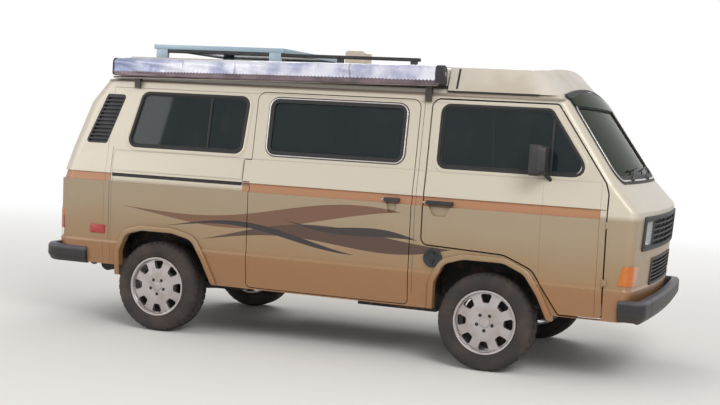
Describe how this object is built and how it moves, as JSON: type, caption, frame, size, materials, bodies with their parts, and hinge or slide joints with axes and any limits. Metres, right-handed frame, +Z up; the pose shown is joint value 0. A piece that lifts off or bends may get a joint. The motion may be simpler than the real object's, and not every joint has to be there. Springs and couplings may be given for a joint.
{
  "type": "camper van",
  "caption": "Boxy rear-engined camper van with a pop-up roof lid, front luggage tray, side awning bag, sliding side door, hinged cab doors and tailgate, and steerable wheels.",
  "frame": {"origin": "on the ground, at the centre of the vehicle's outer box, midway between the bumpers", "axes": "+X forward along the vehicle, +Y to its left, +Z up"},
  "size_m": [4.5698, 2.14, 2.136],
  "materials": {
    "paint": "gold-beige metallic gloss",
    "fibreglass": "beige gelcoat",
    "dark_plastic": "matte",
    "clear_lamp": "ribbed clear",
    "signal_lens": "amber and red lenses",
    "tinted_glass": "tinted",
    "alloy": "silver lacquer",
    "tyre_rubber": "dusty",
    "steel": "black chassis paint",
    "iron": "raw",
    "bag_vinyl": "grey vinyl",
    "canvas": "beige canvas",
    "upholstery": "woven",
    "laminate": "satin laminate",
    "panel_frame": "anodised frame",
    "mirror_black": "matte"
  },
  "bodies": {
    "body": {"floor_pan": "steel", "front_panel": "paint", "side_panel_left": "paint", "side_panel_right": "paint", "rear_panel": "paint", "roof_panel": "paint", "front_grilles": "dark_plastic", "headlamps": "clear_lamp", "signal_lamps": "signal_lens", "bumpers": "dark_plastic", "fixed_glass": "tinted_glass", "body_trim": "dark_plastic", "sliding_door": "paint", "bellows": "canvas", "luggage_tray": "fibreglass", "awning_bag": "bag_vinyl", "awning_rail": "panel_frame", "cab_seats": "upholstery", "dashboard": "dark_plastic", "bench_cushions": "upholstery", "cabinets": "laminate", "engine_block": "iron", "underfloor_units": "steel", "front_axle": "steel", "rear_axle": "steel"},
    "left_front_door": {"door_left": "paint", "door_glass_left": "tinted_glass", "mirror_left": "mirror_black"},
    "right_front_door": {"door_right": "paint", "door_glass_right": "tinted_glass", "mirror_right": "mirror_black"},
    "rear_hatch": {"tailgate": "paint", "tailgate_glass": "tinted_glass"},
    "roof_lid": {"pop_top": "fibreglass", "solar_panels": "panel_frame"},
    "steer_left": {"knuckle_left": "iron"},
    "steer_right": {"knuckle_right": "iron"},
    "wheel_front_left": {"rim_front_left": "alloy", "tyre_front_left": "tyre_rubber"},
    "wheel_front_right": {"rim_front_right": "alloy", "tyre_front_right": "tyre_rubber"},
    "wheel_rear_left": {"rim_rear_left": "alloy", "tyre_rear_left": "tyre_rubber"},
    "wheel_rear_right": {"rim_rear_right": "alloy", "tyre_rear_right": "tyre_rubber"}
  },
  "joints": [
    {"name": "left_door_hinge", "type": "hinge", "parent": "body", "child": "left_front_door", "pos_m": [1.979, 0.923, 0.85], "axis": [0, 0, -1], "range_deg": [0, 70]},
    {"name": "right_door_hinge", "type": "hinge", "parent": "body", "child": "right_front_door", "pos_m": [1.979, -0.923, 0.85], "axis": [0, 0, 1], "range_deg": [0, 70]},
    {"name": "tailgate_hinge", "type": "hinge", "parent": "body", "child": "rear_hatch", "pos_m": [-1.876, 0, 1.783], "axis": [0, 1, 0], "range_deg": [0, 85]},
    {"name": "roof_lid_hinge", "type": "hinge", "parent": "body", "child": "roof_lid", "pos_m": [-1.765, 0, 1.856], "axis": [0, -1, 0], "range_deg": [0, 20]},
    {"name": "left_steering", "type": "hinge", "parent": "body", "child": "steer_left", "pos_m": [1.216, 0.648, 0.325], "axis": [0, 0, 1], "range_deg": [-32, 32]},
    {"name": "right_steering", "type": "hinge", "parent": "body", "child": "steer_right", "pos_m": [1.216, -0.648, 0.325], "axis": [0, 0, 1], "range_deg": [-32, 32]},
    {"name": "front_left_wheel_spin", "type": "hinge", "parent": "steer_left", "child": "wheel_front_left", "pos_m": [1.216, 0.792, 0.325], "axis": [0, 1, 0], "continuous": true},
    {"name": "front_right_wheel_spin", "type": "hinge", "parent": "steer_right", "child": "wheel_front_right", "pos_m": [1.216, -0.792, 0.325], "axis": [0, 1, 0], "continuous": true},
    {"name": "rear_left_wheel_spin", "type": "hinge", "parent": "body", "child": "wheel_rear_left", "pos_m": [-1.245, 0.792, 0.325], "axis": [0, 1, 0], "continuous": true},
    {"name": "rear_right_wheel_spin", "type": "hinge", "parent": "body", "child": "wheel_rear_right", "pos_m": [-1.245, -0.792, 0.325], "axis": [0, 1, 0], "continuous": true}
  ],
  "couplings": [
    {"joint": "right_steering", "follows": "left_steering", "ratio": 1}
  ]
}
